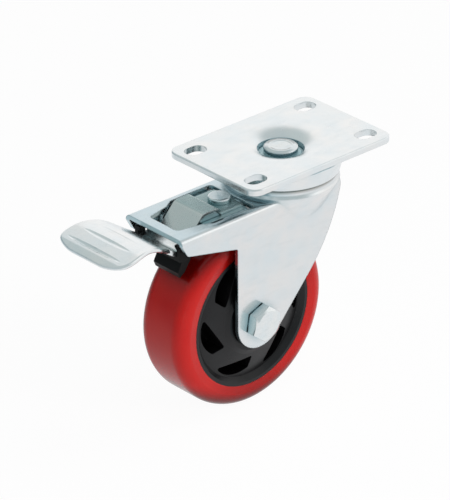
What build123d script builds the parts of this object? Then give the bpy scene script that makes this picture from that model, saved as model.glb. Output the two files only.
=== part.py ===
from build123d import *
import os
from math import atan2, cos, degrees, radians, sin, sqrt, tan

# A plate-mounted swivel castor with a pedal brake, in millimetres.
# +Z is up. The origin is where the swivel axis meets the mounting face.
# The wheel trails and the pedal points towards -X; the axle bolt's head is at -Y.

# Clearances
seat_gap = 0.03  # between pieces that are fixed together
pin_gap = 0.05  # radial, a pin or a ball in its seat
run_gap = 0.3  # between pieces that move past each other
shoe_contact_gap = 0.3  # left between the shoe and the tread at full pedal
cut_over = 2.0  # how far a cutter passes beyond the metal

# Top plate
plate_length = 97.0
plate_width = 66.0
plate_thickness = 3.5
plate_corner = 6.5
plate_edge = 0.8
slot_spacing_x = 76.0
slot_spacing_y = 45.0
slot_width = 9.0
slot_length = 12.5
bowl_rim_radius = 24.0
bowl_waist_radius = 12.2
bowl_waist_depth = 3.2
bowl_floor_radius = 11.5
bowl_depth = 6.0
bowl_thinning = 0.75  # share of the sheet's thickness left in the drawn bowl

# Kingpin with its collar, and the nut below the crown
kingpin_radius = 6.0
kingpin_head_radius = 8.9
kingpin_head_height = 3.5
kingpin_head_edge = 0.9
kingpin_tail = 1.2  # thread left showing under the nut
collar_radius = 10.8
collar_thickness = 0.8
kingpin_nut_flats = 19.0
kingpin_nut_height = 7.0

# Upper race cup, a drawn ring with a skirt
cup_sheet = 1.8
cup_lip_run = 4.9  # inwards from the balls' circle
cup_dip_run = 3.7  # outwards from the balls' circle
cup_rise_run = 2.6
cup_flange_run = 5.6
cup_skirt_lean = 2.0
cup_skirt_bottom = 12.8  # below the mounting face
cup_bend = 1.1

# Swivel balls and their grooves
upper_ball_radius = 3.0
upper_ball_pitch = 20.5
upper_ball_count = 18
lower_ball_radius = 2.5
lower_ball_pitch = 12.4
lower_ball_count = 12
groove_depth = 0.7

# Dust seal between the cup's skirt and the crown
seal_gap = 0.6
seal_width = 1.6
seal_top = 11.6

# Lower race and the toothed lock ring
race_thickness = 1.9
race_radius = 17.2
race_lip_thickness = 1.3
race_lip_height = 2.6
lock_ring_thickness = 2.0
lock_ring_radius = 23.5
lock_notch_depth = 3.2
lock_notch_width = 3.1
lock_notch_count = 24

# Fork, pressed from one sheet
fork_sheet = 2.5
fork_half_width = 21.5
crown_top = 13.3  # below the mounting face
crown_inset = 1.1  # inside the skirt's lower rim
crown_step = 3.1
crown_shoulder_run = 1.0
crown_shoulder_drop = 4.7
crown_cone_end = 34.0
crown_hole_radius = 8.2
crown_edge = 0.8
arm_top = 18.8
arm_front = 86.0
arm_bend_radius = 3.2
arm_nose_top = 22.0
arm_nose_x = 82.5
arm_nose_bottom = 28.3
arm_nose_radius = 2.0
notch_x = 49.0
notch_bottom = 35.9
notch_radius = 1.6
leg_end_radius = 15.0
rear_shoulder_x = 21.8
rear_shoulder_z = 23.7
leg_rear_slope = 48.5  # degrees from level
leg_rear_run = 34.4
rear_skirt_bottom = 22.0

# Window in the arm's top
window_front = 80.0
window_front_half = 10.5
window_waist_x = 66.0
window_waist_half = 13.2
window_wide_x = 60.5
window_wide_half = 16.6
window_back = 33.2
window_corner = 2.5

# Wheel
axle_x = -34.0
axle_z = -82.0
wheel_radius = 50.0
tyre_half_width = 16.2
tyre_shoulder = 7.0
tyre_wall_radius = 38.4
tyre_wall_half = 15.5
core_rim_radius = 41.0
core_rim_half = 12.5
core_lip_radius = 36.6
core_well_radius = 34.2
core_well_half = 12.8
core_boss_radius = 20.0
core_boss_half = 16.6
hub_radius = 17.5
hub_half = 17.8
core_mid_half = 3.0  # half of the wall between the windows of the two faces
core_bore_gap = 2.0
window_count = 6
window_first_angle = 165.0
window_tip_radius = 32.4
window_heel_outer = 29.2
window_heel_inner = 22.2
window_sweep = 43.0
window_rounding = 1.0
window_heel_turn = 2.0  # degrees that the heel's end leans back
window_bulge = 0.3
window_bulge_at = 0.55  # along the sweep

# Wheel bearings and axle
bearing_radius = 14.0
bearing_width = 8.0
bearing_recess = 0.2
bearing_shoulder = 1.6
bearing_pitch = 10.2
bearing_ball_radius = 2.4
bearing_ball_count = 7
inner_race_radius = 8.6
outer_race_bore = 11.8
shield_thickness = 0.4
shield_inset = 0.5
sleeve_radius = 6.0
axle_radius = 5.0
hex_flats = 17.0
hex_face_share = 0.97  # of the flats, left flat on a hexagon's end
bolt_face_share = 0.87
bolt_head_turn = 21.0  # degrees
bolt_head_height = 6.4
bolt_seat_thickness = 0.5  # round face under the head
bolt_seat_share = 0.94  # of the flats
axle_washer_radius = 9.5
axle_washer_thickness = 2.0
axle_nut_height = 8.0
axle_tail = 2.0

# Pedal, pressed from one sheet
brake_angle = 12.3  # pedal travel from free to locked
pivot_x = -62.0
pivot_z = -25.7
pedal_sheet = 2.5
pedal_floor = 28.0  # top of the flat part, below the mounting face
pedal_tail_x = 53.0
pedal_bend_x = 83.7
pedal_crest_x = 107.0
pedal_crest_z = 13.0
pedal_brow_x = 128.0
pedal_brow_z = 17.3
pedal_lip_x = 131.2
pedal_lip_z = 19.0
pedal_bend_radius = 6.0
pedal_crest_radius = 26.0
pedal_lip_radius = 3.0
pedal_inner_half = 16.5
pedal_neck_half = 14.3
pedal_neck_x = 88.0
pedal_shoulder_x = 98.5
pedal_shoulder_half = 20.0
pedal_cheek_x = 108.5
pedal_cheek_half = 22.8
pedal_tread_x = 119.5
pedal_tread_half = 25.0
pedal_corner_x = 127.4
pedal_corner_half = 23.0
pedal_front_x = 130.2
pedal_front_half = 17.0
pedal_ear_front = 68.0
pedal_ear_back = 56.0
pedal_ear_top = 22.5
pedal_waist_x = 76.4
pedal_neck_step = 2.0
pedal_rim_share = 0.44  # of the sheet, rounded off both sides of the tread's rim
tread_grooves = (  # x, half length, radius and depth of each
    (108.6, 17.0, 3.4, 0.35),
    (117.2, 16.5, 3.4, 0.40),
    (125.4, 19.5, 1.5, 0.70),
)
pivot_radius = 2.0

# Bracket inside the arm that holds the pivot and the spring
bracket_sheet = 2.0
bracket_bend = 2.4
bracket_top = 20.0  # of its raised middle
bracket_middle_half = 13.0
bracket_rim_half = 15.0
bracket_front = 51.7  # of its rims
bracket_back = 35.6
bracket_tray_front = 64.0
bracket_tray_half = 13.5
bracket_ear_front = 70.0
bracket_ear_top = 22.3
bracket_ear_bottom = 30.5

# Leaf spring with its hump
spring_sheet = 1.5
spring_bends = (1.6, 1.1, 2.4)
spring_half_width = 10.8
spring_back = 36.2
spring_hump_back = 50.4
spring_hump_run = 3.4
spring_hump_front = 62.0
spring_hump_top = 15.2
spring_toe_x = 72.4
spring_rivet_x = 42.2
spring_rivet_head_radius = 6.0
spring_rivet_head_height = 2.8
spring_rivet_radius = 3.0
spring_rivet_upset = 1.3
spring_rivet_upset_radius = 4.5
spring_rivet_edge = 1.0

# Brake shoe clipped under the pedal's neck
shoe_half_width = 9.2
shoe_tip_angle = 127.5  # where its lower tip lies, seen from the locked wheel's axis
shoe_heel_x = 74.0
shoe_back_x = 69.0
shoe_back_z = 37.0
shoe_step_x = 76.0
shoe_step_z = 38.6
shoe_plate_back = 68.5
shoe_plate_thickness = 2.2
shoe_clip_half = 17.0
shoe_clip_wall = 2.4
shoe_clip_front = 84.0
shoe_clip_back = 79.0
shoe_clip_top = 24.2
shoe_clip_hook = 1.5
shoe_toe_lean = 1.4
shoe_toe_rise = 3.1

# Lock tongue riveted under the pedal's tail
tongue_sheet = 2.0
tongue_half_width = 7.0
tongue_front = 65.5
tongue_step_gap = 0.7  # from the pedal's tail to the start of the tongue's step
tongue_step_run = 2.6
tongue_floor = 31.2  # its underside where it passes over the tyre
tongue_tip_x = 24.7
tongue_tooth_width = 2.3
tongue_tooth_reach = 2.8  # beyond the tongue's own end
tongue_tooth_root = 1.0  # over the tongue's end
tongue_tooth_top = 27.4
tongue_taper_x = 38.0
tongue_tip_half = 4.0
tongue_bend = 1.2
tongue_rivet_x = 57.2
tongue_rivet_y = 4.2
tongue_rivet_radius = 1.6
tongue_rivet_head = 2.6
tongue_rivet_head_height = 1.1

# Levels and radii that follow from the sizes above
cup_inner_radius = upper_ball_pitch - cup_lip_run
cup_dip_radius = upper_ball_pitch + cup_dip_run
cup_flange_radius = cup_dip_radius + cup_rise_run
cup_skirt_top_radius = cup_flange_radius + cup_flange_run
cup_skirt_bottom_radius = cup_skirt_top_radius - cup_skirt_lean
crown_radius = cup_skirt_bottom_radius - crown_inset
crown_shoulder_radius = crown_radius + crown_shoulder_run
crown_under = crown_top + fork_sheet
upper_ball_z = -crown_top - groove_depth + pin_gap + upper_ball_radius
cup_race_under = upper_ball_z + upper_ball_radius + pin_gap - groove_depth
lower_ball_z = -crown_under + groove_depth - pin_gap - lower_ball_radius
race_top = lower_ball_z - lower_ball_radius - pin_gap + groove_depth
race_under = race_top - race_thickness
ring_under = race_under - lock_ring_thickness
kingpin_end = ring_under - kingpin_nut_height - kingpin_tail
bowl_floor_z = -bowl_depth
head_under = bowl_floor_z + collar_thickness
arm_under = arm_top + fork_sheet
fork_inner = fork_half_width - fork_sheet
hub_bearing_outer = hub_half - bearing_recess
hub_bearing_inner = hub_bearing_outer - bearing_width
bracket_inner = fork_inner - seat_gap - bracket_sheet
bracket_rim_top = -arm_under - seat_gap
axle_line = Axis((axle_x, 0, axle_z), (0, 1, 0))
below = Side.LEFT
above = Side.RIGHT


def turned(face):
    """A solid turned about the swivel axis from a face in the XZ plane."""
    return revolve(Plane.XZ * face, Axis.Z)


def turned_on_axle(points):
    """A solid turned about the axle from (radius, y) corners."""
    corners = [(axle_x + radius, y) for radius, y in points]
    face = make_face(Polyline(*corners, close=True))
    return revolve(Plane.XY.offset(axle_z) * face, axle_line)


def ring(inner, outer, bottom, top):
    """A plain ring about the swivel axis."""
    corners = [(inner, bottom), (outer, bottom), (outer, top), (inner, top)]
    return turned(make_face(Polyline(*corners, close=True)))


def slab(outline, y_low, y_high):
    """An outline in the XZ plane, given thickness from y_low to y_high."""
    face = Plane.XZ * outline
    return Pos(0, y_high, 0) * extrude(face, y_high - y_low)


def rod_along_y(x, z, radius, y_low, y_high):
    return slab(Pos(x, z) * Circle(radius), y_low, y_high)


def ball_row(radius, pitch, count, height):
    balls = [Rot(0, 0, 360 * k / count) * Pos(pitch, 0, height) * Sphere(radius) for k in range(count)]
    return Compound(balls)


def standing(radius, height):
    """A cylinder that stands on the XY plane."""
    return Cylinder(radius, height, align=(Align.CENTER, Align.CENTER, Align.MIN))


def groove(radius, pitch, height):
    """The ring-shaped space that a row of balls runs in."""
    return Pos(0, 0, height) * Torus(pitch, radius + pin_gap)


def hex_prism(flats, bottom, top, face_share):
    """A hexagon with its top rim turned to a cone, standing on the Z axis."""
    corner = flats / sqrt(3)
    blank = Pos(0, 0, bottom) * extrude(RegularPolygon(corner, 6), top - bottom)
    face_radius = flats / 2 * face_share
    drop = (corner - face_radius) * tan(radians(30))
    profile = Polyline(
        (0, bottom),
        (corner, bottom),
        (corner, top - drop),
        (face_radius, top),
        (0, top),
        close=True,
    )
    return blank & turned(make_face(profile))


def rotated_about_pivot(x, z, angle):
    """Where a point of the side view goes when the pedal turns by angle, tail up."""
    dx = x - pivot_x
    dz = z - pivot_z
    turn = radians(angle)
    return (pivot_x + dx * cos(turn) - dz * sin(turn), pivot_z + dx * sin(turn) + dz * cos(turn))


def make_top_plate():
    blank = Pos(0, 0, -plate_thickness) * extrude(
        RectangleRounded(plate_length, plate_width, plate_corner), plate_thickness
    )
    blank = fillet(blank.edges().group_by(Axis.Z)[-1], plate_edge)
    blank = fillet(blank.edges().group_by(Axis.Z)[0], plate_edge / 2)
    under_rim = bowl_rim_radius + plate_thickness / 2
    under_waist = bowl_waist_radius + plate_thickness * bowl_thinning
    under_floor = bowl_floor_radius + plate_thickness * bowl_thinning
    waist_z = -bowl_waist_depth - plate_thickness
    floor_z = -bowl_depth - plate_thickness
    bulge = make_face(
        [
            Line((0, -plate_thickness / 2), (under_rim, -plate_thickness / 2)),
            Line((under_rim, -plate_thickness / 2), (under_rim, -plate_thickness)),
            TangentArc((under_rim, -plate_thickness), (under_waist, waist_z), tangent=(-1, 0)),
            Line((under_waist, waist_z), (under_floor, floor_z)),
            Line((under_floor, floor_z), (0, floor_z)),
            Line((0, floor_z), (0, -plate_thickness / 2)),
        ]
    )
    bowl = make_face(
        [
            Line((0, 1), (bowl_rim_radius, 1)),
            Line((bowl_rim_radius, 1), (bowl_rim_radius, 0)),
            TangentArc((bowl_rim_radius, 0), (bowl_waist_radius, -bowl_waist_depth), tangent=(-1, 0)),
            Line((bowl_waist_radius, -bowl_waist_depth), (bowl_floor_radius, bowl_floor_z)),
            Line((bowl_floor_radius, bowl_floor_z), (0, bowl_floor_z)),
            Line((0, bowl_floor_z), (0, 1)),
        ]
    )
    plate = blank + turned(bulge) - turned(bowl)
    slot = extrude(SlotOverall(slot_length, slot_width), -plate_thickness * 2)
    for x in (-slot_spacing_x / 2, slot_spacing_x / 2):
        for y in (-slot_spacing_y / 2, slot_spacing_y / 2):
            plate -= Pos(x, y, plate_thickness / 2) * slot
    return plate - ring(0, kingpin_radius + seat_gap, -plate_length, plate_length)


def make_kingpin_collar():
    collar = ring(kingpin_radius + seat_gap, collar_radius, bowl_floor_z, head_under)
    return fillet(collar.edges().group_by(Axis.Z)[-1].sort_by(SortBy.RADIUS)[-1], collar_thickness / 2)


def make_kingpin():
    head = ring(0, kingpin_head_radius, head_under, head_under + kingpin_head_height)
    head = fillet(head.edges().group_by(Axis.Z)[-1], kingpin_head_edge)
    shank = ring(0, kingpin_radius, kingpin_end, head_under)
    shank = chamfer(shank.edges().group_by(Axis.Z)[0], kingpin_radius / 8)
    return head + shank


def make_upper_race_cup():
    flange_top = -plate_thickness
    dip_top = cup_race_under + cup_sheet
    profile = Polyline(
        (cup_inner_radius, dip_top),
        (cup_dip_radius, dip_top),
        (cup_flange_radius, flange_top),
        (cup_skirt_top_radius - cup_bend, flange_top),
        (cup_skirt_top_radius, flange_top - cup_bend),
        (cup_skirt_bottom_radius, -cup_skirt_bottom),
        (cup_skirt_bottom_radius - cup_sheet, -cup_skirt_bottom),
        (cup_skirt_top_radius - cup_sheet, flange_top - cup_sheet),
        (cup_flange_radius + cup_sheet / 2, flange_top - cup_sheet),
        (cup_dip_radius + cup_sheet / 2, cup_race_under),
        (cup_inner_radius, cup_race_under),
        close=True,
    )
    cup = turned(make_face(profile))
    return cup - groove(upper_ball_radius, upper_ball_pitch, upper_ball_z)


def make_lower_race():
    floor = ring(kingpin_radius + seat_gap, race_radius, race_under, race_top)
    lip = ring(race_radius - race_lip_thickness, race_radius, race_top, race_top + race_lip_height)
    race = floor + lip
    return race - groove(lower_ball_radius, lower_ball_pitch, lower_ball_z)


def make_lock_ring():
    blank = ring(kingpin_radius + seat_gap, lock_ring_radius, ring_under, race_under - seat_gap)
    root = lock_ring_radius - lock_notch_depth
    notch = Pos((root + lock_ring_radius + cut_over) / 2, 0, race_under - lock_ring_thickness / 2) * Box(
        lock_notch_depth + cut_over, lock_notch_width, lock_ring_thickness * 2
    )
    return blank - [Rot(0, 0, 180 + 360 * k / lock_notch_count) * notch for k in range(lock_notch_count)]


def make_kingpin_nut():
    nut = hex_prism(kingpin_nut_flats, 0, kingpin_nut_height - seat_gap, hex_face_share)
    nut = Pos(0, 0, ring_under - seat_gap) * Rot(180, 0, 0) * nut
    return nut - ring(0, kingpin_radius + seat_gap, kingpin_end, 0)


def fork_side_outline():
    """The side view of arm and legs, as one face."""
    slope = radians(leg_rear_slope)
    front_x = axle_x - leg_end_radius
    heel_x = axle_x + leg_end_radius * sin(slope)
    heel_z = axle_z - leg_end_radius * cos(slope)
    knee_x = heel_x + leg_rear_run * cos(slope)
    knee_z = heel_z + leg_rear_run * sin(slope)
    lines = [
        Polyline(
            (rear_shoulder_x, -arm_top),
            (-arm_front, -arm_top),
            (-arm_front, -arm_nose_top),
            (-arm_nose_x, -arm_nose_bottom),
            (-notch_x, -notch_bottom),
            (front_x, axle_z),
        ),
        ThreePointArc((front_x, axle_z), (axle_x, axle_z - leg_end_radius), (heel_x, heel_z)),
        Line((heel_x, heel_z), (knee_x, knee_z)),
        TangentArc((knee_x, knee_z), (rear_shoulder_x, -rear_shoulder_z), tangent=(cos(slope), sin(slope))),
        Line((rear_shoulder_x, -rear_shoulder_z), (rear_shoulder_x, -arm_top)),
    ]
    face = make_face(lines)
    nose = face.vertices().sort_by_distance((-arm_nose_x, -arm_nose_bottom))[0]
    face = fillet(nose, arm_nose_radius)
    notch = face.vertices().sort_by_distance((-notch_x, -notch_bottom))[0]
    return fillet(notch, notch_radius)


def crown_shape(inset):
    """The round crown, taken in by inset for its hollow."""
    top = -crown_top - inset
    wall = crown_radius - inset
    step_z = -crown_top - crown_step - inset / 2
    shoulder = crown_shoulder_radius - inset
    shoulder_z = -crown_top - crown_shoulder_drop - inset / 2
    foot = fork_half_width - inset
    profile = Polyline(
        (0, top),
        (wall, top),
        (wall, step_z),
        (shoulder, shoulder_z),
        (foot, -crown_cone_end),
        (0, -crown_cone_end),
        close=True,
    )
    return turned(make_face(profile))


def make_fork():
    bend_inner = arm_bend_radius - fork_sheet
    outer = slab(fork_side_outline(), -fork_half_width, fork_half_width)
    top_edges = outer.edges().filter_by(Axis.X).group_by(Axis.Z)[-1]
    outer = fillet(top_edges, arm_bend_radius)
    crown = crown_shape(0)
    crown = fillet(crown.edges().group_by(Axis.Z)[-1], crown_edge)
    skirt_cut = Pos(0, 0, -rear_skirt_bottom - crown_cone_end / 2) * Box(
        2 * crown_radius + 2 * cut_over, 2 * fork_inner, crown_cone_end
    )
    front_cut = Pos(-crown_radius, 0, -arm_under - crown_cone_end / 2) * Box(
        2 * crown_radius, 2 * fork_inner, crown_cone_end
    )
    crown = crown - skirt_cut - front_cut
    hollow_height = -axle_z + leg_end_radius
    hollow = Pos(0, 0, -arm_under - hollow_height / 2) * Box(
        3 * arm_front, 2 * fork_inner, hollow_height
    )
    hollow = fillet(hollow.edges().filter_by(Axis.X).group_by(Axis.Z)[-1], bend_inner)
    fork = outer - hollow + crown - crown_shape(fork_sheet)
    fork -= ring(0, crown_hole_radius, -crown_under - cut_over, -crown_top + cut_over)
    fork -= groove(upper_ball_radius, upper_ball_pitch, upper_ball_z)
    fork -= groove(lower_ball_radius, lower_ball_pitch, lower_ball_z)
    fork -= arm_window()
    reach = fork_half_width + cut_over
    return fork - rod_along_y(axle_x, axle_z, axle_radius + seat_gap, -reach, reach)


def arm_window():
    """The opening through the top of the arm, as a cutter."""
    half = [
        (-window_front, window_front_half),
        (-window_waist_x, window_waist_half),
        (-window_wide_x, window_wide_half),
        (-window_back, window_wide_half),
    ]
    other_half = [(x, -y) for x, y in reversed(half)]
    face = make_face(Polyline(*half, *other_half, close=True))
    face = fillet(face.vertices(), window_corner)
    return Pos(0, 0, -arm_under - cut_over) * extrude(face, fork_sheet + 2 * cut_over)


def make_dust_seal():
    outer = cup_skirt_bottom_radius - cup_sheet - seal_gap
    return ring(outer - seal_width, outer, -crown_top + seat_gap, -seal_top)


def bracket_middle(drop):
    """The raised middle of the bracket, as a block; drop lowers it for its hollow."""
    face = make_face(
        Polyline(
            (-bracket_rim_half, bracket_rim_top - drop),
            (-bracket_middle_half, -bracket_top - drop),
            (bracket_middle_half, -bracket_top - drop),
            (bracket_rim_half, bracket_rim_top - drop),
            (bracket_rim_half, bracket_rim_top - bracket_sheet - drop),
            (-bracket_rim_half, bracket_rim_top - bracket_sheet - drop),
            close=True,
        )
    )
    return Pos(-bracket_front, 0, 0) * extrude(Plane.YZ * face, bracket_front - bracket_back)


def make_brake_bracket():
    outer = fork_inner - seat_gap
    ear = make_face(
        Polyline(
            (-bracket_back, -bracket_ear_bottom),
            (-bracket_ear_front, -bracket_ear_bottom),
            (-bracket_ear_front, -bracket_ear_top),
            (-bracket_front, -bracket_ear_top),
            (-bracket_front, bracket_rim_top),
            (-bracket_back, bracket_rim_top),
            close=True,
        )
    )
    front_corners = ear.vertices().group_by(Axis.X)[0]
    ear = fillet(front_corners, bracket_sheet)
    body = slab(ear, -outer, outer)
    top_edges = body.edges().filter_by(Axis.X).group_by(Axis.Z)[-1]
    body = fillet(top_edges, bracket_bend)
    inside = Pos(0, 0, bracket_rim_top - bracket_sheet - bracket_ear_bottom / 2) * Box(
        3 * bracket_ear_front, 2 * bracket_inner, bracket_ear_bottom
    )
    between_ears = Pos(-bracket_front - bracket_ear_front, 0, -bracket_ear_bottom) * Box(
        2 * bracket_ear_front, 2 * bracket_inner, 2 * bracket_ear_bottom
    )
    tray_length = bracket_tray_front - bracket_back
    tray = Pos(-bracket_back - tray_length / 2, 0, -bracket_top - bracket_sheet / 2) * Box(
        tray_length, 2 * bracket_tray_half, bracket_sheet
    )
    tray = fillet(tray.edges().filter_by(Axis.Z).group_by(Axis.X)[0], bracket_bend)
    body = body - inside - between_ears + bracket_middle(0) - bracket_middle(bracket_sheet) + tray
    body -= rod_along_y(pivot_x, pivot_z, pivot_radius + seat_gap, -outer - cut_over, outer + cut_over)
    hole = Pos(-spring_rivet_x, 0, -bracket_top) * Cylinder(spring_rivet_radius + seat_gap, 4 * bracket_sheet)
    return body - hole


def make_pedal_pin():
    outer = fork_inner - 2 * seat_gap
    pin = rod_along_y(pivot_x, pivot_z, pivot_radius, -outer, outer)
    return chamfer(pin.edges().filter_by(GeomType.CIRCLE), pivot_radius / 8)


def bent_strip(points, radii, thickness, half_width, side):
    """A bent strip; its points run towards -X and its metal lies on the given side of them."""
    path = FilletPolyline(*points, radius=radii)
    return slab(make_face(offset(path, thickness, side=side, closed=True)), -half_width, half_width)


def make_leaf_spring():
    flat = -bracket_top + seat_gap
    hump = -spring_hump_top - spring_sheet
    toe_z = -pedal_floor + run_gap
    points = [
        (-spring_back, flat),
        (-spring_hump_back, flat),
        (-spring_hump_back - spring_hump_run, hump),
        (-spring_hump_front, hump),
        (-spring_toe_x, toe_z),
    ]
    spring = bent_strip(points, spring_bends, spring_sheet, spring_half_width, above)
    hole = Pos(-spring_rivet_x, 0, flat) * Cylinder(spring_rivet_radius + seat_gap, 4 * spring_sheet)
    return spring - hole


def make_spring_rivet():
    head_under_z = -bracket_top + spring_sheet + 2 * seat_gap
    shank_end = -bracket_top - bracket_sheet - seat_gap
    head = standing(spring_rivet_head_radius, spring_rivet_head_height)
    head = fillet(head.edges().group_by(Axis.Z)[-1], spring_rivet_edge)
    shank = standing(spring_rivet_radius, head_under_z - shank_end)
    upset = standing(spring_rivet_upset_radius, spring_rivet_upset)
    rivet = Pos(0, 0, head_under_z) * head
    rivet += Pos(0, 0, shank_end) * shank
    rivet += Pos(0, 0, shank_end - spring_rivet_upset) * upset
    return Pos(-spring_rivet_x, 0, 0) * rivet


def make_axle_bolt():
    under_head = -fork_half_width - seat_gap
    head = hex_prism(hex_flats, bolt_seat_thickness, bolt_head_height, bolt_face_share)
    head = Rot(0, 0, bolt_head_turn) * head
    head += standing(hex_flats / 2 * bolt_seat_share, bolt_seat_thickness)
    head = Pos(axle_x, under_head, axle_z) * Rot(90, 0, 0) * head
    tail = fork_half_width + axle_washer_thickness + axle_nut_height + axle_tail
    shank = rod_along_y(axle_x, axle_z, axle_radius, under_head, tail)
    shank = chamfer(shank.edges().group_by(Axis.Y)[-1], axle_radius / 6)
    return head + shank


def make_axle_washer():
    start = fork_half_width + seat_gap
    stop = start + axle_washer_thickness - 2 * seat_gap
    return turned_on_axle(
        [
            (axle_radius + seat_gap, start),
            (axle_washer_radius, start),
            (axle_washer_radius, stop),
            (axle_radius + seat_gap, stop),
        ]
    )


def make_axle_nut():
    start = fork_half_width + axle_washer_thickness
    nut = hex_prism(hex_flats, 0, axle_nut_height, hex_face_share)
    nut = Pos(axle_x, start, axle_z) * Rot(-90, 0, 0) * nut
    stop = start + axle_nut_height
    return nut - rod_along_y(axle_x, axle_z, axle_radius + seat_gap, start - cut_over, stop + cut_over)


def make_axle_sleeve():
    reach = fork_inner - seat_gap
    bore = axle_radius + seat_gap
    return turned_on_axle([(bore, -reach), (sleeve_radius, -reach), (sleeve_radius, reach), (bore, reach)])


def bearing_space(side):
    """The ring that the balls of one bearing run in."""
    middle = side * (hub_bearing_inner + hub_bearing_outer) / 2
    return Pos(axle_x, middle, axle_z) * Rot(90, 0, 0) * Torus(bearing_pitch, bearing_ball_radius + pin_gap)


def bearing_ring(inner, outer, side):
    low = side * hub_bearing_inner
    high = side * hub_bearing_outer
    return turned_on_axle([(inner, low), (outer, low), (outer, high), (inner, high)]) - bearing_space(side)


def make_bearing_inner_races():
    bore = sleeve_radius + seat_gap
    return Compound([bearing_ring(bore, inner_race_radius, side) for side in (-1, 1)])


def make_bearing_outer_races():
    outside = bearing_radius - seat_gap
    return Compound([bearing_ring(outer_race_bore, outside, side) for side in (-1, 1)])


def make_bearing_balls():
    balls = []
    for side in (-1, 1):
        middle = side * (hub_bearing_inner + hub_bearing_outer) / 2
        for k in range(bearing_ball_count):
            angle = radians(360 * k / bearing_ball_count)
            x = axle_x + bearing_pitch * cos(angle)
            z = axle_z + bearing_pitch * sin(angle)
            balls.append(Pos(x, middle, z) * Sphere(bearing_ball_radius))
    return Compound(balls)


def make_bearing_shields():
    shields = []
    for side in (-1, 1):
        outer_face = side * (hub_bearing_outer - shield_inset)
        inner_face = side * (hub_bearing_outer - shield_inset - shield_thickness)
        inner = inner_race_radius + run_gap
        outer = outer_race_bore - seat_gap
        corners = [(inner, inner_face), (outer, inner_face), (outer, outer_face), (inner, outer_face)]
        shields.append(turned_on_axle(corners))
    return Compound(shields)


def make_tyre():
    wall = wheel_radius - tyre_shoulder
    crown_half = tyre_half_width - tyre_shoulder
    bond = core_rim_radius + seat_gap
    low = axle_x
    diagonal = tyre_shoulder * sin(radians(45))
    lines = [
        Line((low + tyre_wall_radius, tyre_wall_half), (low + wall, tyre_half_width)),
        ThreePointArc(
            (low + wall, tyre_half_width),
            (low + wall + diagonal, crown_half + diagonal),
            (low + wheel_radius, crown_half),
        ),
        Line((low + wheel_radius, crown_half), (low + wheel_radius, -crown_half)),
        ThreePointArc(
            (low + wheel_radius, -crown_half),
            (low + wall + diagonal, -crown_half - diagonal),
            (low + wall, -tyre_half_width),
        ),
        Line((low + wall, -tyre_half_width), (low + tyre_wall_radius, -tyre_wall_half)),
        Polyline(
            (low + tyre_wall_radius, -tyre_wall_half),
            (low + bond, -core_rim_half),
            (low + bond, core_rim_half),
            (low + tyre_wall_radius, tyre_wall_half),
        ),
    ]
    return revolve(Plane.XY.offset(axle_z) * make_face(lines), axle_line)


def core_window(k):
    """One shark-fin window of the wheel core's face."""
    start = window_first_angle + 360 * k / window_count
    heel = start + window_sweep

    def at(radius, angle):
        return (axle_x + radius * cos(radians(angle)), axle_z + radius * sin(radians(angle)))

    lines = [
        Line(at(window_tip_radius, start), at(window_heel_inner, heel)),
        Line(at(window_heel_inner, heel), at(window_heel_outer, heel - window_heel_turn)),
        ThreePointArc(
            at(window_heel_outer, heel - window_heel_turn),
            at(window_tip_radius + window_bulge, start + window_sweep * window_bulge_at),
            at(window_tip_radius, start),
        ),
    ]
    face = make_face(lines)
    return fillet(face.vertices(), window_rounding)


def make_wheel_core():
    bore = sleeve_radius + core_bore_gap
    half = [
        (bore, 0),
        (bore, hub_bearing_inner - bearing_shoulder),
        (bearing_radius - bearing_shoulder, hub_bearing_inner - seat_gap),
        (bearing_radius, hub_bearing_inner - seat_gap),
        (bearing_radius, hub_half),
        (hub_radius, hub_half),
        (core_boss_radius, core_boss_half),
        (core_well_radius, core_well_half),
        (core_lip_radius, tyre_wall_half),
        (tyre_wall_radius, tyre_wall_half),
        (core_rim_radius, core_rim_half),
    ]
    other_half = [(radius, -y) for radius, y in reversed(half[1:])]
    core = turned_on_axle(half + other_half)
    for k in range(window_count):
        window = core_window(k)
        core -= slab(window, core_mid_half, hub_half)
        core -= slab(window, -hub_half, -core_mid_half)
    return core


def pedal_plan():
    """The pedal seen from above, from its tail to its lip."""
    neck_start = pedal_waist_x + pedal_neck_step
    upper = [
        Line((-pedal_tail_x, 0), (-pedal_tail_x, pedal_inner_half)),
        Line((-pedal_tail_x, pedal_inner_half), (-pedal_waist_x, pedal_inner_half)),
        Line((-pedal_waist_x, pedal_inner_half), (-neck_start, pedal_neck_half)),
        Line((-neck_start, pedal_neck_half), (-pedal_neck_x, pedal_neck_half)),
        Spline(
            (-pedal_neck_x, pedal_neck_half),
            (-pedal_shoulder_x, pedal_shoulder_half),
            (-pedal_cheek_x, pedal_cheek_half),
            (-pedal_tread_x, pedal_tread_half),
            (-pedal_corner_x, pedal_corner_half),
            (-pedal_front_x, pedal_front_half),
            (-pedal_lip_x, 0),
            tangents=[(-1, 0.3), (0, -1)],
        ),
        Line((-pedal_lip_x, 0), (-pedal_tail_x, 0)),
    ]
    half = make_face(upper)
    return half + mirror(half, Plane.XZ)


def tread_groove(x, top, half_length, radius, depth):
    """A cutter for a shallow groove across the tread that fades out at both ends."""
    bow = half_length**2 / (2 * depth)
    return Pos(-x, 0, top - depth + radius + bow) * Rot(0, 90, 0) * Torus(bow, radius)


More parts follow.
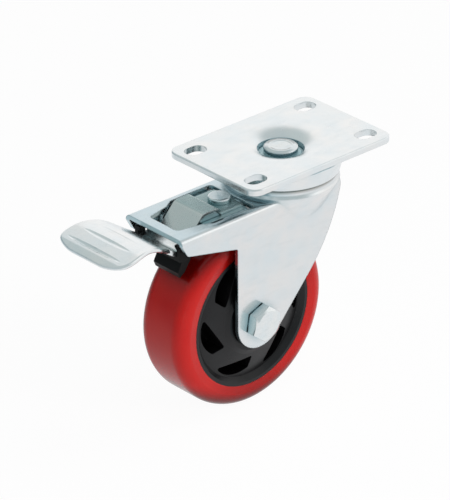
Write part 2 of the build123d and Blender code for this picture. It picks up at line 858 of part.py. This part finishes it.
def make_pedal():
    past_lip = pedal_lip_x - pedal_brow_x
    points = [
        (-pedal_tail_x, -pedal_floor),
        (-pedal_bend_x, -pedal_floor),
        (-pedal_crest_x, -pedal_crest_z),
        (-pedal_brow_x, -pedal_brow_z),
        (-pedal_lip_x - past_lip, -2 * pedal_lip_z + pedal_brow_z),
    ]
    radii = [pedal_bend_radius, pedal_crest_radius, pedal_lip_radius]
    strip = bent_strip(points, radii, pedal_sheet, 2 * pedal_tread_half, below)
    plan = Pos(0, 0, -2 * pedal_floor) * extrude(pedal_plan(), 2 * pedal_floor)
    pedal = strip & plan
    curves = pedal.edges().filter_by(GeomType.BSPLINE)
    rim = [edge for edge in curves if edge.center().X < -pedal_shoulder_x]
    pedal = fillet(rim, pedal_sheet * pedal_rim_share)
    for x, half_length, radius, depth in tread_grooves:
        sliver = strip & (Pos(-x, 0, -pedal_floor) * Box(radius / 20, 1, 2 * pedal_floor))
        pedal -= tread_groove(x, sliver.bounding_box().max.Z, half_length, radius, depth)
    ear = make_face(
        Polyline(
            (-pedal_ear_back, -pedal_floor - pedal_sheet / 2),
            (-pedal_ear_front, -pedal_floor - pedal_sheet / 2),
            (-pedal_ear_front, -pedal_ear_top),
            (-pedal_ear_back, -pedal_ear_top),
            close=True,
        )
    )
    ear = fillet(ear.vertices().group_by(Axis.Y)[-1], pedal_sheet)
    pedal += slab(ear, pedal_inner_half - pedal_sheet, pedal_inner_half)
    pedal += slab(ear, -pedal_inner_half, -pedal_inner_half + pedal_sheet)
    reach = pedal_inner_half + cut_over
    pedal -= rod_along_y(pivot_x, pivot_z, pivot_radius + pin_gap, -reach, reach)
    rivet_hole = Cylinder(tongue_rivet_radius + seat_gap, 4 * pedal_sheet)
    for y in (-tongue_rivet_y, tongue_rivet_y):
        pedal -= Pos(-tongue_rivet_x, y, -pedal_floor) * rivet_hole
    return pedal


def make_brake_shoe():
    locked_x, locked_z = rotated_about_pivot(axle_x, axle_z, -brake_angle)
    reach = wheel_radius + shoe_contact_gap

    def on_tread(angle):
        turn = radians(angle)
        return (locked_x + reach * cos(turn), locked_z + reach * sin(turn))

    tip = on_tread(shoe_tip_angle)
    heel_z = locked_z + sqrt(reach**2 - (-shoe_heel_x - locked_x) ** 2)
    heel = (-shoe_heel_x, heel_z)
    heel_angle = degrees(atan2(heel_z - locked_z, -shoe_heel_x - locked_x))
    middle = on_tread((shoe_tip_angle + heel_angle) / 2)
    toe = (tip[0] - shoe_toe_lean, tip[1] + shoe_toe_rise)
    plate_top = -pedal_floor - pedal_sheet - seat_gap
    pad = make_face(
        [
            ThreePointArc(tip, middle, heel),
            Polyline(
                heel,
                (-shoe_back_x, -shoe_back_z),
                (-shoe_plate_back, plate_top),
                (-shoe_step_x, plate_top),
                (-shoe_step_x, -shoe_step_z),
                toe,
                tip,
            ),
        ]
    )
    pad = slab(pad, -shoe_half_width, shoe_half_width)
    plate_under = plate_top - shoe_plate_thickness
    clip_middle = -(shoe_clip_front + shoe_clip_back) / 2
    clip_length = shoe_clip_front - shoe_clip_back
    back_middle = -(shoe_clip_back + shoe_plate_back) / 2
    back_length = shoe_clip_back - shoe_plate_back
    plate_middle = (plate_top + plate_under) / 2
    plate = Pos(clip_middle, 0, plate_middle) * Box(clip_length, 2 * shoe_clip_half, shoe_plate_thickness)
    plate += Pos(back_middle, 0, plate_middle) * Box(back_length, 2 * shoe_half_width, shoe_plate_thickness)
    return pad + plate + shoe_clip(plate_under) + mirror(shoe_clip(plate_under), Plane.XZ)


def shoe_clip(bottom):
    """The hook that grips one edge of the pedal's neck, on the +Y side."""
    wall = shoe_clip_half - shoe_clip_wall
    hook = wall - shoe_clip_hook
    top = -shoe_clip_top
    face = make_face(
        Polyline(
            (wall, bottom),
            (shoe_clip_half, bottom),
            (shoe_clip_half, top - shoe_clip_wall / 3),
            (shoe_clip_half - shoe_clip_wall / 3, top),
            (hook, top),
            (hook, top - shoe_clip_wall / 2),
            (wall, top - shoe_clip_wall),
            close=True,
        )
    )
    solid = extrude(Plane.YZ * face, shoe_clip_front - shoe_clip_back)
    return Pos(-shoe_clip_front, 0, 0) * solid


def make_lock_tongue():
    seat = -pedal_floor - pedal_sheet - seat_gap
    floor = -tongue_floor + tongue_sheet
    step_x = -pedal_tail_x + tongue_step_gap
    points = [
        (-tongue_tip_x, floor),
        (step_x + tongue_step_run, floor),
        (step_x, seat),
        (-tongue_front, seat),
    ]
    strip = bent_strip(points, (tongue_bend, tongue_bend), tongue_sheet, tongue_half_width, below)
    plan = make_face(
        Polyline(
            (-tongue_tip_x, -tongue_tip_half),
            (-tongue_taper_x, -tongue_half_width),
            (-tongue_front, -tongue_half_width),
            (-tongue_front, tongue_half_width),
            (-tongue_taper_x, tongue_half_width),
            (-tongue_tip_x, tongue_tip_half),
            close=True,
        )
    )
    strip = strip & (Pos(0, 0, -2 * tongue_floor) * extrude(plan, 2 * tongue_floor))
    tooth_low = -tongue_floor
    tooth_middle = -tongue_tip_x + (tongue_tooth_reach - tongue_tooth_root) / 2
    tooth = Pos(tooth_middle, 0, (tooth_low - tongue_tooth_top) / 2) * Box(
        tongue_tooth_reach + tongue_tooth_root, tongue_tooth_width, tongue_floor - tongue_tooth_top
    )
    tongue = strip + tooth
    for y in (-tongue_rivet_y, tongue_rivet_y):
        tongue -= Pos(-tongue_rivet_x, y, seat) * Cylinder(tongue_rivet_radius + seat_gap, 4 * tongue_sheet)
    return tongue


def make_tongue_rivets():
    rivets = []
    top = -pedal_floor + seat_gap
    bottom = -pedal_floor - pedal_sheet - tongue_sheet - 2 * seat_gap
    for y in (-tongue_rivet_y, tongue_rivet_y):
        shank = Pos(0, 0, bottom) * standing(tongue_rivet_radius, top - bottom)
        head = Pos(0, 0, top) * standing(tongue_rivet_head, tongue_rivet_head_height)
        rivets.append(Pos(-tongue_rivet_x, y, 0) * (shank + head))
    return Compound(rivets)


nodes = {
    "top_plate": make_top_plate(),
    "kingpin": make_kingpin(),
    "kingpin_collar": make_kingpin_collar(),
    "upper_race_cup": make_upper_race_cup(),
    "lower_race": make_lower_race(),
    "lock_ring": make_lock_ring(),
    "kingpin_nut": make_kingpin_nut(),
    "fork": make_fork(),
    "upper_balls": ball_row(upper_ball_radius, upper_ball_pitch, upper_ball_count, upper_ball_z),
    "lower_balls": ball_row(lower_ball_radius, lower_ball_pitch, lower_ball_count, lower_ball_z),
    "dust_seal": make_dust_seal(),
    "brake_bracket": make_brake_bracket(),
    "pedal_pin": make_pedal_pin(),
    "leaf_spring": make_leaf_spring(),
    "spring_rivet": make_spring_rivet(),
    "axle_bolt": make_axle_bolt(),
    "axle_washer": make_axle_washer(),
    "axle_nut": make_axle_nut(),
    "axle_sleeve": make_axle_sleeve(),
    "bearing_inner_races": make_bearing_inner_races(),
    "bearing_outer_races": make_bearing_outer_races(),
    "bearing_balls": make_bearing_balls(),
    "bearing_shields": make_bearing_shields(),
    "tyre": make_tyre(),
    "wheel_core": make_wheel_core(),
    "pedal": make_pedal(),
    "brake_shoe": make_brake_shoe(),
    "lock_tongue": make_lock_tongue(),
    "tongue_rivets": make_tongue_rivets(),
}

os.makedirs("parts", exist_ok=True)
for name, piece in nodes.items():
    export_step(piece, f"parts/{name}.step")
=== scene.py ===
import math

import bpy
from mathutils import Matrix, Vector


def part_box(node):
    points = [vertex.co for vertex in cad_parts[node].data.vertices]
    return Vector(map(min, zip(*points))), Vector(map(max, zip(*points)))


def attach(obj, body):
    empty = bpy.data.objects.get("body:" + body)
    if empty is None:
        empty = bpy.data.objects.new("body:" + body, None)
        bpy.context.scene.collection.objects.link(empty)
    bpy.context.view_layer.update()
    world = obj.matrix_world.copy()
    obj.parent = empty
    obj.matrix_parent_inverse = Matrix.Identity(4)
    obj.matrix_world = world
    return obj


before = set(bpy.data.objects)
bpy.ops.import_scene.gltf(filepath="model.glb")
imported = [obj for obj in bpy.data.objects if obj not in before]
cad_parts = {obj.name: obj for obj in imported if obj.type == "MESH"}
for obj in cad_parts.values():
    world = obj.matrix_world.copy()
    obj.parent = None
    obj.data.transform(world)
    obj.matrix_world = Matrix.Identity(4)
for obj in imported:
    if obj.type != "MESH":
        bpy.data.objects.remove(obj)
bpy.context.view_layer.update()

cameraView = {
    "azimuth": -41.98,
    "elevation": 27.58,
    "roll": -0.345,
    "distance": 2.0022,
    "lens": 279.835,
    "sensor": 36.0,
    "nearest": 0.05,
    "farthest": 20.0,
    "middle": (0.0, 0.0, -0.060),
    "alongRight": -0.028656,
    "alongUp": -0.001611,
}


def addCamera(view):
    turn = math.radians(view["azimuth"])
    rise = math.radians(view["elevation"])
    roll = math.radians(view["roll"])
    back = Vector((
        math.sin(turn) * math.cos(rise), -math.cos(turn) * math.cos(rise), math.sin(rise),
    ))
    level = Vector((math.cos(turn), math.sin(turn), 0.0))
    upright = back.cross(level)
    right = level * math.cos(roll) + upright * math.sin(roll)
    up = upright * math.cos(roll) - level * math.sin(roll)
    middle = Vector(view["middle"]) + right * view["alongRight"] + up * view["alongUp"]
    data = bpy.data.cameras.new("camera")
    data.sensor_fit = "VERTICAL"
    data.sensor_height = view["sensor"]
    data.lens = view["lens"]
    data.clip_start = view["nearest"]
    data.clip_end = view["farthest"]
    camera = bpy.data.objects.new("camera", data)
    turned = Matrix((right, up, back)).transposed().to_4x4()
    camera.matrix_world = Matrix.Translation(middle + back * view["distance"]) @ turned
    bpy.context.scene.collection.objects.link(camera)
    bpy.context.scene.camera = camera


addCamera(cameraView)
bpy.context.scene.view_settings.view_transform = "Standard"
print("camera set")

white = (1.0, 1.0, 1.0, 1.0)


def grey(level):
    return (level, level, level, 1.0)


def addNode(tree, kind, values=None, **settings):
    node = tree.nodes.new(kind)
    for key, value in settings.items():
        setattr(node, key, value)
    for socket, value in (values or {}).items():
        if isinstance(value, bpy.types.NodeSocket):
            tree.links.new(value, node.inputs[socket])
        else:
            node.inputs[socket].default_value = value
    return node


def blended(tree, factor, first, second, blend="MIX"):
    return addNode(tree, "ShaderNodeMix", {0: factor, 6: first, 7: second},
                   data_type="RGBA", blend_type=blend).outputs[2]


def chosen(tree, factor, first, second):
    return addNode(tree, "ShaderNodeMixShader", {0: factor, 1: first, 2: second}).outputs[0]


def dotted(tree, vector, way):
    return addNode(tree, "ShaderNodeVectorMath", {0: vector, 1: way},
                   operation="DOT_PRODUCT").outputs["Value"]


def eased(tree, value, start, stop):
    return addNode(tree, "ShaderNodeMapRange", {
        "Value": value, "From Min": start, "From Max": stop,
    }, interpolation_type="SMOOTHSTEP").outputs[0]


def isDirectRay(tree, path):
    return addNode(tree, "ShaderNodeMath", {
        0: path.outputs["Is Camera Ray"], 1: path.outputs["Is Transmission Ray"],
    }, operation="MAXIMUM").outputs[0]


floorSizes = {
    "level": -0.132,
    "reach": 6.0,
    "glow": 0.95,
    "shadowShare": 0.09,
    "bounce": 0.82,
    "mirrored": (0.88, 0.89, 0.90, 1.0),
    "mirroredDark": (0.46, 0.54, 0.57, 1.0),
    "darkWay": (-0.95, 0.30, 0.0),
    "darkFrom": 0.06,
    "darkTo": 0.55,
}


def addFloor(look):
    reach = look["reach"]
    mesh = bpy.data.meshes.new("floor")
    corners = [(-reach, -reach), (reach, -reach), (reach, reach), (-reach, reach)]
    mesh.from_pydata([(x, y, look["level"]) for x, y in corners], [], [(0, 1, 2, 3)])
    floor = bpy.data.objects.new("floor", mesh)
    bpy.context.scene.collection.objects.link(floor)
    material = bpy.data.materials.new("paleFloor")
    material.use_nodes = True
    tree = material.node_tree
    tree.nodes.clear()
    path = addNode(tree, "ShaderNodeLightPath")
    place = addNode(tree, "ShaderNodeTexCoord").outputs["Object"]
    toDark = eased(tree, dotted(tree, place, look["darkWay"]), look["darkFrom"], look["darkTo"])
    tone = blended(tree, toDark, look["mirrored"], look["mirroredDark"])
    mirrored = addNode(tree, "ShaderNodeEmission", {"Color": tone, "Strength": 1.0})
    matt = addNode(tree, "ShaderNodeBsdfDiffuse", {"Color": grey(look["bounce"])})
    shaded = addNode(tree, "ShaderNodeBsdfDiffuse", {"Color": grey(look["shadowShare"])})
    glow = addNode(tree, "ShaderNodeEmission", {"Color": white, "Strength": look["glow"]})
    pale = addNode(tree, "ShaderNodeAddShader", {0: shaded.outputs[0], 1: glow.outputs[0]})
    unseen = chosen(tree, path.outputs["Is Glossy Ray"], matt.outputs[0], mirrored.outputs[0])
    mixed = chosen(tree, isDirectRay(tree, path), unseen, pale.outputs[0])
    addNode(tree, "ShaderNodeOutputMaterial", {"Surface": mixed})
    mesh.materials.append(material)


softFill = {
    "open": (0.66, 0.66, 0.66, 1.0),
    "colour": (0.10, 0.10, 0.11, 1.0),
    "way": (-0.62, 0.34, 0.70),
    "from": -0.15,
    "to": 0.50,
}
mirroredPatches = {
    "dark": {"colour": (0.20, 0.27, 0.30, 1.0), "way": (-0.90, 0.36, 0.25),
             "from": 0.0, "to": 0.56},
    "dim": {"colour": (0.53, 0.59, 0.60, 1.0), "way": (-0.50, -0.40, 0.77),
            "from": 0.02, "to": 0.36},
    "haze": {"colour": (0.56, 0.62, 0.62, 1.0), "way": (-0.14, 0.66, 0.74),
             "from": 0.82, "to": 0.97},
    "glint": {"colour": (1.2, 1.2, 1.2, 1.0), "way": (0.50, -0.62, 0.60),
              "from": 0.90, "to": 0.99},
}


def nearness(tree, patch):
    place = addNode(tree, "ShaderNodeTexCoord").outputs["Generated"]
    aim = Vector(patch["way"]).normalized()
    return eased(tree, dotted(tree, place, aim), patch["from"], patch["to"])


def backdrop(tree, colour):
    return addNode(tree, "ShaderNodeBackground", {"Color": colour, "Strength": 1.0}).outputs[0]


def setWorld(fill, patches):
    world = bpy.data.worlds.new("studio")
    bpy.context.scene.world = world
    world.use_nodes = True
    tree = world.node_tree
    tree.nodes.clear()
    path = addNode(tree, "ShaderNodeLightPath")
    wall = white
    for patch in patches.values():
        wall = blended(tree, nearness(tree, patch), wall, patch["colour"])
    soft = blended(tree, nearness(tree, fill), fill["open"], fill["colour"])
    unseen = chosen(tree, path.outputs["Is Glossy Ray"], backdrop(tree, soft), backdrop(tree, wall))
    final = chosen(tree, isDirectRay(tree, path), unseen, backdrop(tree, white))
    addNode(tree, "ShaderNodeOutputWorld", {"Surface": final})


lamps = {
    "keyLamp": {"at": (0.7, -1.6, 0.45), "width": 0.7, "power": 8.6},
    "topLamp": {"at": (0.3, -0.3, 1.7), "width": 0.9, "power": 2.6},
    "lowLamp": {"at": (-0.90, -1.05, -0.08), "width": 0.5, "power": 8.6},
}
lampAim = Vector((-0.03, 0.0, -0.06))


def addLamp(name, lamp, aim):
    data = bpy.data.lights.new(name, "AREA")
    data.shape = "DISK"
    data.size = lamp["width"]
    data.energy = lamp["power"]
    light = bpy.data.objects.new(name, data)
    light.visible_glossy = False
    place = Vector(lamp["at"])
    turned = (aim - place).to_track_quat("-Z", "Y").to_matrix().to_4x4()
    light.matrix_world = Matrix.Translation(place) @ turned
    bpy.context.scene.collection.objects.link(light)


addFloor(floorSizes)
setWorld(softFill, mirroredPatches)
for name, lamp in lamps.items():
    addLamp(name, lamp, lampAim)
print("floor, world and lamps set")


def startFinish(name):
    material = bpy.data.materials.new(name)
    material.use_nodes = True
    tree = material.node_tree
    tree.nodes.clear()
    shader = addNode(tree, "ShaderNodeBsdfPrincipled")
    addNode(tree, "ShaderNodeOutputMaterial", {"Surface": shader.outputs[0]})
    place = addNode(tree, "ShaderNodeTexCoord").outputs["Object"]
    return material, tree, shader, place


def solid(colour):
    return colour + (1.0,)


def noise(tree, place, size, detail=3.0, stretch=(1.0, 1.0, 1.0), roughness=0.5):
    spread = addNode(tree, "ShaderNodeMapping", {"Vector": place, "Scale": stretch})
    return addNode(tree, "ShaderNodeTexNoise", {
        "Vector": spread.outputs[0], "Scale": 1.0 / size, "Detail": detail, "Roughness": roughness,
    }).outputs[0]


def mapped(tree, value, low, high, start=0.3, stop=0.7):
    return addNode(tree, "ShaderNodeMapRange", {
        "Value": value, "From Min": start, "From Max": stop, "To Min": low, "To Max": high,
    }).outputs[0]


def facing(tree, way, start, stop):
    normal = addNode(tree, "ShaderNodeTexCoord").outputs["Normal"]
    return mapped(tree, dotted(tree, normal, way), 0.0, 1.0, start, stop)


def enclosed(tree, reach, start, stop):
    openAir = addNode(tree, "ShaderNodeAmbientOcclusion", {"Distance": reach}, samples=6)
    return mapped(tree, openAir.outputs["AO"], 1.0, 0.0, start, stop)


def softened(tree, radius):
    return addNode(tree, "ShaderNodeBevel", {"Radius": radius}, samples=4).outputs[0]


def bumped(tree, height, distance, normal):
    return addNode(tree, "ShaderNodeBump", {
        "Height": height, "Distance": distance, "Strength": 1.0, "Normal": normal,
    }).outputs[0]


# In each look, the colour after dull is painted shade for surfaces facing up, and the colour after
# that is painted shade for surfaces facing -X.
zincLooks = {
    "zincPlate": {
        "cool": (0.80, 0.85, 0.87), "warm": (0.88, 0.88, 0.87), "dull": (0.66, 0.72, 0.74),
        "topShade": (1.0, 1.0, 1.0), "frontShade": (1.0, 1.0, 1.0), "patch": 0.014, "grain": 0.0006,
        "smooth": 0.16, "rough": 0.30, "dent": 0.000006, "edge": 0.0005,
    },
    "zincFork": {
        "cool": (0.76, 0.81, 0.83), "warm": (0.84, 0.83, 0.82), "dull": (0.62, 0.68, 0.70),
        "topShade": (0.74, 0.84, 0.88), "frontShade": (0.64, 0.79, 0.83), "patch": 0.013, "grain": 0.0006,
        "smooth": 0.14, "rough": 0.28, "dent": 0.000006, "edge": 0.0010,
        # painted shade: height band of the crown just below the cup's skirt
        "gapShade": (-0.0155, -0.0138),
    },
    # painted shade: a darker teal copy of the zinc plating for the parts inside and under the fork
    # and plate, standing in for the shade and dark reflections there
    "zincShadedInside": {
        "cool": (0.54, 0.70, 0.73), "warm": (0.64, 0.75, 0.76), "dull": (0.44, 0.56, 0.58),
        "topShade": (1.0, 1.0, 1.0), "frontShade": (0.9, 0.95, 0.95), "patch": 0.010, "grain": 0.0005,
        "smooth": 0.36, "rough": 0.50, "dent": 0.00001, "edge": 0.0003,
    },
    "zincBolt": {
        "cool": (0.78, 0.84, 0.86), "warm": (0.86, 0.87, 0.86), "dull": (0.50, 0.58, 0.60),
        "topShade": (0.95, 0.98, 0.98), "frontShade": (0.70, 0.84, 0.86), "patch": 0.007, "grain": 0.0004,
        "smooth": 0.12, "rough": 0.24, "dent": 0.000008, "edge": 0.0003,
    },
    "zincHead": {
        "cool": (0.76, 0.80, 0.82), "warm": (0.82, 0.83, 0.82), "dull": (0.55, 0.60, 0.62),
        "topShade": (0.94, 0.96, 0.96), "frontShade": (0.80, 0.86, 0.87), "patch": 0.004, "grain": 0.0004,
        "smooth": 0.14, "rough": 0.28, "dent": 0.00001, "edge": 0.0005,
        "turned": ((0.0052, 0.0060, 0.0003), (0.0066, 0.0084, -0.0008)),
    },
    "springSteel": {
        "cool": (0.65, 0.71, 0.70), "warm": (0.70, 0.72, 0.71), "dull": (0.70, 0.76, 0.76),
        "topShade": (0.54, 0.66, 0.67), "frontShade": (0.88, 0.90, 0.90), "patch": 0.008, "grain": 0.0004,
        "smooth": 0.20, "rough": 0.32, "dent": 0.00001, "edge": 0.0004,
    },
    "ballSteel": {
        "cool": (0.60, 0.62, 0.64), "warm": (0.66, 0.66, 0.66), "dull": (0.5, 0.5, 0.5),
        "topShade": (1.0, 1.0, 1.0), "frontShade": (1.0, 1.0, 1.0), "patch": 0.004, "grain": 0.0003,
        "smooth": 0.06, "rough": 0.12, "dent": 0.000002, "edge": 0.0001,
    },
}
zincDetail = {
    "rolledTimes": 2.0,
    "rolledStretch": (0.05, 1.0, 1.0),
    "smearTimes": 0.4,
    "smearStretch": (0.5, 1.0, 1.6),
    "smearShare": 0.22,
    "smearFrom": 0.50,
    "smearTo": 0.74,
    "topShadeFrom": 0.84,
    "topShadeTo": 0.99,
    "frontShadeFrom": 0.45,
    "frontShadeTo": 0.95,
    # painted shade: colour and reach of the darkening in slots, gaps and under parts
    "creviceShade": (0.58, 0.70, 0.73, 1.0),
    "creviceReach": 0.0045,
    "creviceFrom": 0.30,
    "creviceTo": 0.95,
    # painted shade: brownish colour and strength of the dark line in the gap under the cup
    "gapShade": (0.34, 0.31, 0.27, 1.0),
    "gapShadeShare": 0.85,
    "rippleTimes": 6.0,
}


def zincFinish(name, look, detail):
    material, tree, shader, place = startFinish(name)
    patches = noise(tree, place, look["patch"], detail=4.0)
    grain = noise(tree, place, look["grain"], detail=2.0)
    rolled = noise(tree, place, look["grain"] * detail["rolledTimes"],
                   stretch=detail["rolledStretch"])
    smears = noise(tree, place, look["patch"] * detail["smearTimes"], detail=6.0,
                   stretch=detail["smearStretch"], roughness=0.65)
    toWarm = mapped(tree, patches, 0.0, 1.0)
    tint = blended(tree, toWarm, solid(look["cool"]), solid(look["warm"]))
    toDull = mapped(tree, smears, 0.0, detail["smearShare"], detail["smearFrom"], detail["smearTo"])
    tint = blended(tree, toDull, tint, solid(look["dull"]))
    # painted shade: surfaces facing up are multiplied by a darker colour of the look, standing in
    # for the shade and dark reflections they catch
    topShadeMask = facing(tree, (0.0, 0.0, 1.0), detail["topShadeFrom"], detail["topShadeTo"])
    tint = blended(tree, topShadeMask, tint, solid(look["topShade"]), blend="MULTIPLY")
    # painted shade: surfaces facing -X are multiplied by another darker teal colour of the look,
    # standing in for the dark reflections they catch
    frontShadeMask = facing(tree, (-1.0, 0.0, 0.0), detail["frontShadeFrom"], detail["frontShadeTo"])
    tint = blended(tree, frontShadeMask, tint, solid(look["frontShade"]), blend="MULTIPLY")
    # painted shade: colour is multiplied towards a dark teal where ambient occlusion finds nearby
    # surfaces, in slots, gaps and under parts
    occludedShade = enclosed(tree, detail["creviceReach"], detail["creviceFrom"], detail["creviceTo"])
    tint = blended(tree, occludedShade, tint, detail["creviceShade"], blend="MULTIPLY")
    # painted shade: a thin height band of the crown just below the cup's skirt is multiplied
    # towards a dark brownish colour, standing in for the shadow line in the gap
    if "gapShade" in look:
        height = addNode(tree, "ShaderNodeSeparateXYZ", {0: place}).outputs["Z"]
        gapShadeMask = mapped(tree, height, 0.0, detail["gapShadeShare"], *look["gapShade"])
        tint = blended(tree, gapShadeMask, tint, detail["gapShade"], blend="MULTIPLY")
    tree.links.new(tint, shader.inputs["Base Color"])
    shader.inputs["Metallic"].default_value = 1.0
    both = addNode(tree, "ShaderNodeMath", {0: smears, 1: rolled}, operation="ADD").outputs[0]
    mean = addNode(tree, "ShaderNodeMath", {0: both, 1: 0.5}, operation="MULTIPLY").outputs[0]
    tree.links.new(mapped(tree, mean, look["smooth"], look["rough"]), shader.inputs["Roughness"])
    normal = bumped(tree, grain, look["dent"], softened(tree, look["edge"]))
    normal = bumped(tree, smears, look["dent"] * detail["rippleTimes"], normal)
    normal = bumped(tree, rolled, look["dent"], normal)
    if "turned" in look:
        flat = addNode(tree, "ShaderNodeVectorMath", {0: place, 1: (1.0, 1.0, 0.0)},
                       operation="MULTIPLY").outputs[0]
        radius = addNode(tree, "ShaderNodeVectorMath", {0: flat},
                         operation="LENGTH").outputs["Value"]
        for start, stop, rise in look["turned"]:
            normal = bumped(tree, mapped(tree, radius, 0.0, 1.0, start, stop), rise, normal)
    tree.links.new(normal, shader.inputs["Normal"])
    return material


mouldedLooks = {
    "redTread": {
        "colour": (0.620, 0.008, 0.006), "worn": (0.660, 0.014, 0.010), "patch": 0.020,
        "shade": 0.024, "smooth": 0.16, "rough": 0.24, "gloss": 0.30, "grain": 0.0007,
        "dent": 0.000008, "edge": 0.0006,
    },
    "blackCore": {
        "colour": (0.006, 0.006, 0.007), "worn": (0.011, 0.011, 0.012), "patch": 0.009,
        "shade": 0.010, "smooth": 0.26, "rough": 0.40, "gloss": 0.32, "grain": 0.0005,
        "dent": 0.00002, "edge": 0.0004,
    },
    "blackShoe": {
        "colour": (0.004, 0.004, 0.004), "worn": (0.007, 0.007, 0.007), "patch": 0.006,
        "shade": 0.010, "smooth": 0.36, "rough": 0.50, "gloss": 0.12, "grain": 0.0004,
        "dent": 0.00002, "edge": 0.0004,
    },
}
mouldedDetail = {
    "shadeFrom": 0.56,
    "shadeTo": 1.0,
    "shaded": (0.26, 0.24, 0.24, 1.0),
}


def mouldedFinish(name, look, detail):
    material, tree, shader, place = startFinish(name)
    patches = noise(tree, place, look["patch"], detail=4.0)
    grain = noise(tree, place, look["grain"], detail=2.0)
    toWorn = mapped(tree, patches, 0.0, 1.0)
    tint = blended(tree, toWorn, solid(look["colour"]), solid(look["worn"]))
    occludedShade = enclosed(tree, look["shade"], detail["shadeFrom"], detail["shadeTo"])
    tint = blended(tree, occludedShade, tint, detail["shaded"], blend="MULTIPLY")
    tree.links.new(tint, shader.inputs["Base Color"])
    shader.inputs["Specular IOR Level"].default_value = look["gloss"]
    roughness = mapped(tree, patches, look["smooth"], look["rough"])
    tree.links.new(roughness, shader.inputs["Roughness"])
    normal = bumped(tree, grain, look["dent"], softened(tree, look["edge"]))
    tree.links.new(normal, shader.inputs["Normal"])
    return material


finishes = {name: zincFinish(name, look, zincDetail) for name, look in zincLooks.items()}
for name, look in mouldedLooks.items():
    finishes[name] = mouldedFinish(name, look, mouldedDetail)

nodeFinishes = {
    "zincPlate": ["top_plate", "upper_race_cup", "pedal"],
    "zincFork": ["fork"],
    "zincShadedInside": ["brake_bracket", "lower_race", "lock_ring", "pedal_pin", "kingpin_collar",
                   "bearing_shields"],
    "zincHead": ["kingpin"],
    "zincBolt": ["kingpin_nut", "axle_bolt", "axle_nut", "axle_washer", "axle_sleeve",
                 "spring_rivet", "tongue_rivets"],
    "springSteel": ["leaf_spring", "lock_tongue"],
    "ballSteel": ["upper_balls", "lower_balls", "bearing_balls", "bearing_inner_races",
                  "bearing_outer_races"],
    "redTread": ["tyre"],
    "blackCore": ["wheel_core", "dust_seal"],
    "blackShoe": ["brake_shoe"],
}
for finish, names in nodeFinishes.items():
    for name in names:
        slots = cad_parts[name].data.materials
        if not slots:
            slots.append(None)
        for index in range(len(slots)):
            slots[index] = finishes[finish]
print("finishes set")

humpSide = {
    "corners": ((-0.0512, -0.0198), (-0.0542, -0.0169), (-0.0620, -0.0169), (-0.0647, -0.0198)),
    "outer": 0.0104,
    "thickness": 0.0008,
}


def addPiece(name, mesh, body):
    piece = bpy.data.objects.new(name, mesh)
    bpy.context.scene.collection.objects.link(piece)
    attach(piece, body)


def addHumpSide(name, look, side):
    points = []
    for reach in (look["outer"] - look["thickness"], look["outer"]):
        points += [(x, side * reach, z) for x, z in look["corners"]]
    count = len(look["corners"])
    faces = [list(range(count))[::-side], list(range(count, 2 * count))[::side]]
    for index in range(count):
        after = (index + 1) % count
        faces.append([index, after, after + count, index + count][::side])
    mesh = bpy.data.meshes.new(name)
    mesh.from_pydata(points, [], faces)
    mesh.materials.append(finishes["zincShadedInside"])
    addPiece(name, mesh, "fork")


addHumpSide("hump_side_near", humpSide, -1)
addHumpSide("hump_side_far", humpSide, 1)
print("sides of the spring's hump made")

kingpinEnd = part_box("kingpin")[0][2]
threads = {
    "axle_thread": {"at": (-0.034, 0.0317, -0.082), "tilt": -90.0, "radius": 0.0050,
                    "pitch": 0.0007, "turns": 2.0, "body": "fork"},
    "kingpin_thread": {"at": (0.0, 0.0, kingpinEnd + 0.0004), "tilt": 0.0, "radius": 0.0060,
                       "pitch": 0.0005, "turns": 1.6, "body": "plate"},
}
threadDetail = {"around": 48, "corners": 4, "ridgeShare": 0.42}


def threadTree(detail):
    tree = bpy.data.node_groups.new("thread", "GeometryNodeTree")
    for name in ("Radius", "Pitch", "Turns"):
        tree.interface.new_socket(name=name, in_out="INPUT", socket_type="NodeSocketFloat")
    tree.interface.new_socket(name="Finish", in_out="INPUT", socket_type="NodeSocketMaterial")
    tree.interface.new_socket(name="Geometry", in_out="OUTPUT", socket_type="NodeSocketGeometry")
    given = addNode(tree, "NodeGroupInput").outputs
    rise = addNode(tree, "ShaderNodeMath", {0: given["Pitch"], 1: given["Turns"]},
                   operation="MULTIPLY")
    wind = addNode(tree, "GeometryNodeCurveSpiral", {
        "Resolution": detail["around"], "Rotations": given["Turns"],
        "Start Radius": given["Radius"], "End Radius": given["Radius"], "Height": rise.outputs[0],
    })
    half = addNode(tree, "ShaderNodeMath", {0: given["Pitch"], 1: detail["ridgeShare"]},
                   operation="MULTIPLY")
    ridge = addNode(tree, "GeometryNodeCurvePrimitiveCircle", {
        "Resolution": detail["corners"], "Radius": half.outputs[0],
    })
    swept = addNode(tree, "GeometryNodeCurveToMesh", {
        "Curve": wind.outputs[0], "Profile Curve": ridge.outputs[0],
    })
    real = addNode(tree, "GeometryNodeRealizeInstances", {0: swept.outputs[0]})
    dressed = addNode(tree, "GeometryNodeSetMaterial", {
        "Geometry": real.outputs[0], "Material": given["Finish"],
    })
    addNode(tree, "NodeGroupOutput", {0: dressed.outputs[0]})
    return tree


def addThread(name, look, tree):
    carrier = bpy.data.objects.new(name + "_source", bpy.data.meshes.new(name + "_source"))
    bpy.context.scene.collection.objects.link(carrier)
    modifier = carrier.modifiers.new("thread", "NODES")
    modifier.node_group = tree
    values = {"Radius": look["radius"], "Pitch": look["pitch"], "Turns": look["turns"],
              "Finish": finishes["zincBolt"]}
    for item in tree.interface.items_tree:
        if item.in_out == "INPUT":
            modifier[item.identifier] = values[item.name]
    bpy.context.view_layer.update()
    made = carrier.evaluated_get(bpy.context.evaluated_depsgraph_get())
    mesh = bpy.data.meshes.new_from_object(made)
    bpy.data.objects.remove(carrier)
    turned = Matrix.Rotation(math.radians(look["tilt"]), 4, "X")
    mesh.transform(Matrix.Translation(look["at"]) @ turned)
    mesh.name = name
    addPiece(name, mesh, look["body"])


thread = threadTree(threadDetail)
for name, look in threads.items():
    addThread(name, look, thread)
print("threads made")
